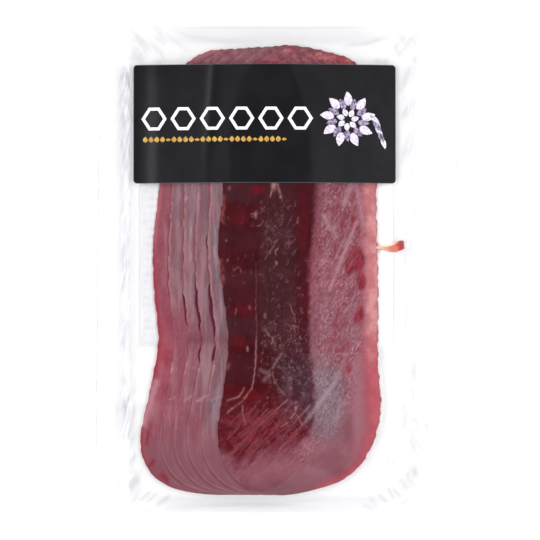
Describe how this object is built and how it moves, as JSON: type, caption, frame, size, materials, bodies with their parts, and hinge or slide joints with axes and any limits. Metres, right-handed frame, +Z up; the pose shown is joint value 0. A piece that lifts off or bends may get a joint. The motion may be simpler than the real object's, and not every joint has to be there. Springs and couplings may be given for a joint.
{
  "type": "vacuum pack of sliced dried beef",
  "caption": "Flat clear vacuum pack of shingled thin slices of dark dried beef, with a dark label across the front and a white label on the back.",
  "frame": {"origin": "centre of the pack's underside, in the plane that it lies on", "axes": "+Y along the pack towards the front label, +X across it to the side where the strand sticks out, +Z up through the shown side"},
  "size_m": [0.1536, 0.22, 0.0089],
  "materials": {
    "meat": "dark red dried beef, pressed smooth under film",
    "fat": "cream to orange fat with red ends",
    "film": "clear glossy vacuum film, finely wrinkled round the meat",
    "front_label": "near black satin label",
    "print": "white, lilac and gold printing ink",
    "back_label": "white coated paper with faint grey print"
  },
  "bodies": {
    "root": {"sealed_pack": "meat", "front_label": "front_label", "back_label": "back_label"}
  },
  "joints": []
}
